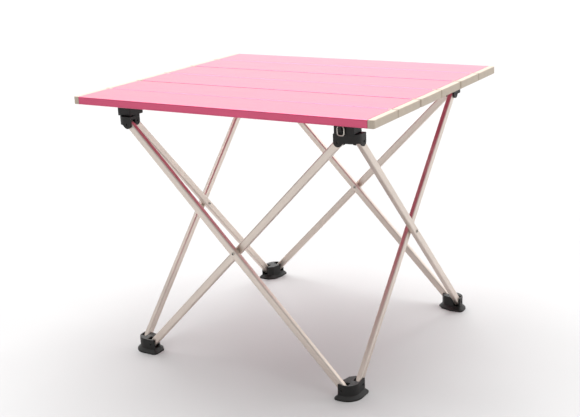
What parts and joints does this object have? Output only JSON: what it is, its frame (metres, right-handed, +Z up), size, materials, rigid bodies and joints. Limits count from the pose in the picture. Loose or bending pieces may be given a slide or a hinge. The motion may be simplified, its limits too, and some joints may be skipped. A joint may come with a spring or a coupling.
{
  "type": "folding_side_table",
  "caption": "Low folding camp table with a slatted top in hinged sections on a square scissor frame that folds inward.",
  "frame": {"origin": "on the floor under the middle of the open top", "axes": "X along the slats, Y from front to back, Z up"},
  "size_m": [0.395, 0.345, 0.325],
  "materials": {
    "pink_anodised": "satin anodised, fine lines along the extrusion",
    "cream_plastic": "moulded, matte",
    "champagne_aluminium": "satin anodised tube",
    "black_plastic": "moulded, fine texture",
    "bright_steel": "plain steel",
    "blackened_steel": "blackened pins",
    "cream_elastic": "braided cover"
  },
  "bodies": {
    "foot_front_right": {"foot_front_right": "black_plastic", "foot_pin_front_right_inner": "blackened_steel", "foot_pin_front_right_outer": "blackened_steel"},
    "foot_back_right": {"foot_back_right": "black_plastic", "foot_pin_back_right_inner": "blackened_steel", "foot_pin_back_right_outer": "blackened_steel"},
    "foot_back_left": {"foot_back_left": "black_plastic", "foot_pin_back_left_inner": "blackened_steel", "foot_pin_back_left_outer": "blackened_steel"},
    "foot_front_left": {"foot_front_left": "black_plastic", "foot_pin_front_left_inner": "blackened_steel", "foot_pin_front_left_outer": "blackened_steel"},
    "hub_front_right": {"hub_front_right": "black_plastic", "hub_pin_front_right_inner": "blackened_steel", "hub_pin_front_right_outer": "blackened_steel"},
    "hub_back_right": {"hub_back_right": "black_plastic", "hub_pin_back_right_inner": "blackened_steel", "hub_pin_back_right_outer": "blackened_steel"},
    "hub_back_left": {"hub_back_left": "black_plastic", "hub_pin_back_left_inner": "blackened_steel", "hub_pin_back_left_outer": "blackened_steel"},
    "hub_front_left": {"hub_front_left": "black_plastic", "hub_pin_front_left_inner": "blackened_steel", "hub_pin_front_left_outer": "blackened_steel"},
    "leg_front_outer": {"leg_front_outer": "champagne_aluminium", "cross_rivet_front": "bright_steel"},
    "leg_front_inner": {"leg_front_inner": "champagne_aluminium"},
    "leg_right_outer": {"leg_right_outer": "champagne_aluminium", "cross_rivet_right": "bright_steel"},
    "leg_right_inner": {"leg_right_inner": "champagne_aluminium"},
    "leg_back_outer": {"leg_back_outer": "champagne_aluminium", "cross_rivet_back": "bright_steel"},
    "leg_back_inner": {"leg_back_inner": "champagne_aluminium"},
    "leg_left_outer": {"leg_left_outer": "champagne_aluminium", "cross_rivet_left": "bright_steel"},
    "leg_left_inner": {"leg_left_inner": "champagne_aluminium"},
    "top_middle": {"slat_3": "pink_anodised", "slat_4": "pink_anodised", "end_cap_left_middle": "cream_plastic", "end_cap_right_middle": "cream_plastic", "elastic_cord_left": "cream_elastic", "elastic_cord_right": "cream_elastic"},
    "top_front": {"slat_1": "pink_anodised", "slat_2": "pink_anodised", "end_cap_left_front": "cream_plastic", "end_cap_right_front": "cream_plastic", "top_clip_front_left": "black_plastic", "top_clip_front_right": "black_plastic"},
    "top_back": {"slat_5": "pink_anodised", "slat_6": "pink_anodised", "end_cap_left_back": "cream_plastic", "end_cap_right_back": "cream_plastic", "top_clip_back_left": "black_plastic", "top_clip_back_right": "black_plastic"},
    "wire_ring_front_right": {"wire_ring_front_right": "bright_steel"},
    "wire_ring_back_right": {"wire_ring_back_right": "bright_steel"},
    "wire_ring_back_left": {"wire_ring_back_left": "bright_steel"},
    "wire_ring_front_left": {"wire_ring_front_left": "bright_steel"}
  },
  "joints": [
    {"name": "frame_fold", "type": "hinge", "parent": "foot_front_right", "child": "leg_front_outer", "pos_m": [0.144, -0.1549, 0.0115], "axis": [0, 1, 0], "range_deg": [0, 38]},
    {"name": "front_cross", "type": "hinge", "parent": "leg_front_outer", "child": "leg_front_inner", "pos_m": [0.007, -0.1507, 0.15245], "axis": [0, 1, 0], "range_deg": [-76, 0]},
    {"name": "hub_front_right_turn", "type": "hinge", "parent": "leg_front_inner", "child": "hub_front_right", "pos_m": [0.144, -0.1465, 0.2934], "axis": [0, 1, 0], "range_deg": [0, 38]},
    {"name": "foot_front_left_turn", "type": "hinge", "parent": "leg_front_inner", "child": "foot_front_left", "pos_m": [-0.13, -0.1465, 0.0115], "axis": [0, 1, 0], "range_deg": [0, 38]},
    {"name": "hub_front_left_turn", "type": "hinge", "parent": "leg_front_outer", "child": "hub_front_left", "pos_m": [-0.13, -0.1549, 0.2934], "axis": [0, 1, 0], "range_deg": [-38, 0]},
    {"name": "right_inner_turn", "type": "hinge", "parent": "foot_front_right", "child": "leg_right_inner", "pos_m": [0.1535, -0.137, 0.0115], "axis": [-1, 0, 0], "range_deg": [-38, 0]},
    {"name": "right_cross", "type": "hinge", "parent": "leg_right_inner", "child": "leg_right_outer", "pos_m": [0.1577, 0, 0.15245], "axis": [-1, 0, 0], "range_deg": [0, 76]},
    {"name": "hub_back_right_turn", "type": "hinge", "parent": "leg_right_inner", "child": "hub_back_right", "pos_m": [0.1535, 0.137, 0.2934], "axis": [-1, 0, 0], "range_deg": [0, 38]},
    {"name": "foot_back_right_turn", "type": "hinge", "parent": "leg_right_outer", "child": "foot_back_right", "pos_m": [0.1619, 0.137, 0.0115], "axis": [-1, 0, 0], "range_deg": [-38, 0]},
    {"name": "back_outer_turn", "type": "hinge", "parent": "hub_back_right", "child": "leg_back_outer", "pos_m": [0.144, 0.1549, 0.2934], "axis": [0, -1, 0], "range_deg": [0, 38]},
    {"name": "back_inner_turn", "type": "hinge", "parent": "foot_back_right", "child": "leg_back_inner", "pos_m": [0.144, 0.1465, 0.0115], "axis": [0, -1, 0], "range_deg": [-38, 0]},
    {"name": "left_outer_turn", "type": "hinge", "parent": "foot_front_left", "child": "leg_left_outer", "pos_m": [-0.1479, -0.137, 0.0115], "axis": [1, 0, 0], "range_deg": [0, 38]},
    {"name": "left_inner_turn", "type": "hinge", "parent": "hub_front_left", "child": "leg_left_inner", "pos_m": [-0.1395, -0.137, 0.2934], "axis": [1, 0, 0], "range_deg": [-38, 0]},
    {"name": "hub_back_left_turn", "type": "hinge", "parent": "leg_left_outer", "child": "hub_back_left", "pos_m": [-0.1479, 0.137, 0.2934], "axis": [1, 0, 0], "range_deg": [-38, 0]},
    {"name": "foot_back_left_turn", "type": "hinge", "parent": "leg_left_inner", "child": "foot_back_left", "pos_m": [-0.1395, 0.137, 0.0115], "axis": [1, 0, 0], "range_deg": [0, 38]},
    {"name": "top_lift", "type": "slide", "parent": "hub_front_right", "child": "top_middle", "axis": [0, 0, 1], "range_m": [0, 0.1]},
    {"name": "front_fold", "type": "hinge", "parent": "top_middle", "child": "top_front", "pos_m": [0, -0.05783, 0.3255], "axis": [-1, 0, 0], "range_deg": [0, 180]},
    {"name": "back_fold", "type": "hinge", "parent": "top_middle", "child": "top_back", "pos_m": [0, 0.05783, 0.338], "axis": [1, 0, 0], "range_deg": [0, 180]},
    {"name": "ring_front_right_swing", "type": "hinge", "parent": "top_front", "child": "wire_ring_front_right", "pos_m": [0.1493, -0.1542, 0.3115], "axis": [-1, 0, 0], "range_deg": [0, 100]},
    {"name": "ring_back_right_swing", "type": "hinge", "parent": "top_back", "child": "wire_ring_back_right", "pos_m": [0.1612, 0.1423, 0.3115], "axis": [0, -1, 0], "range_deg": [0, 100]},
    {"name": "ring_back_left_swing", "type": "hinge", "parent": "top_back", "child": "wire_ring_back_left", "pos_m": [-0.1353, 0.1542, 0.3115], "axis": [1, 0, 0], "range_deg": [0, 100]},
    {"name": "ring_front_left_swing", "type": "hinge", "parent": "top_front", "child": "wire_ring_front_left", "pos_m": [-0.1472, -0.1423, 0.3115], "axis": [0, 1, 0], "range_deg": [0, 100]}
  ],
  "couplings": [
    {"joint": "front_cross", "follows": "frame_fold", "ratio": -2},
    {"joint": "hub_front_right_turn", "follows": "frame_fold", "ratio": 1},
    {"joint": "foot_front_left_turn", "follows": "frame_fold", "ratio": 1},
    {"joint": "hub_front_left_turn", "follows": "frame_fold", "ratio": -1},
    {"joint": "right_inner_turn", "follows": "frame_fold", "ratio": -1},
    {"joint": "right_cross", "follows": "frame_fold", "ratio": 2},
    {"joint": "hub_back_right_turn", "follows": "frame_fold", "ratio": 1},
    {"joint": "foot_back_right_turn", "follows": "frame_fold", "ratio": -1},
    {"joint": "back_outer_turn", "follows": "frame_fold", "ratio": 1},
    {"joint": "back_inner_turn", "follows": "frame_fold", "ratio": -1},
    {"joint": "left_outer_turn", "follows": "frame_fold", "ratio": 1},
    {"joint": "left_inner_turn", "follows": "frame_fold", "ratio": -1},
    {"joint": "hub_back_left_turn", "follows": "frame_fold", "ratio": -1},
    {"joint": "foot_back_left_turn", "follows": "frame_fold", "ratio": 1}
  ]
}
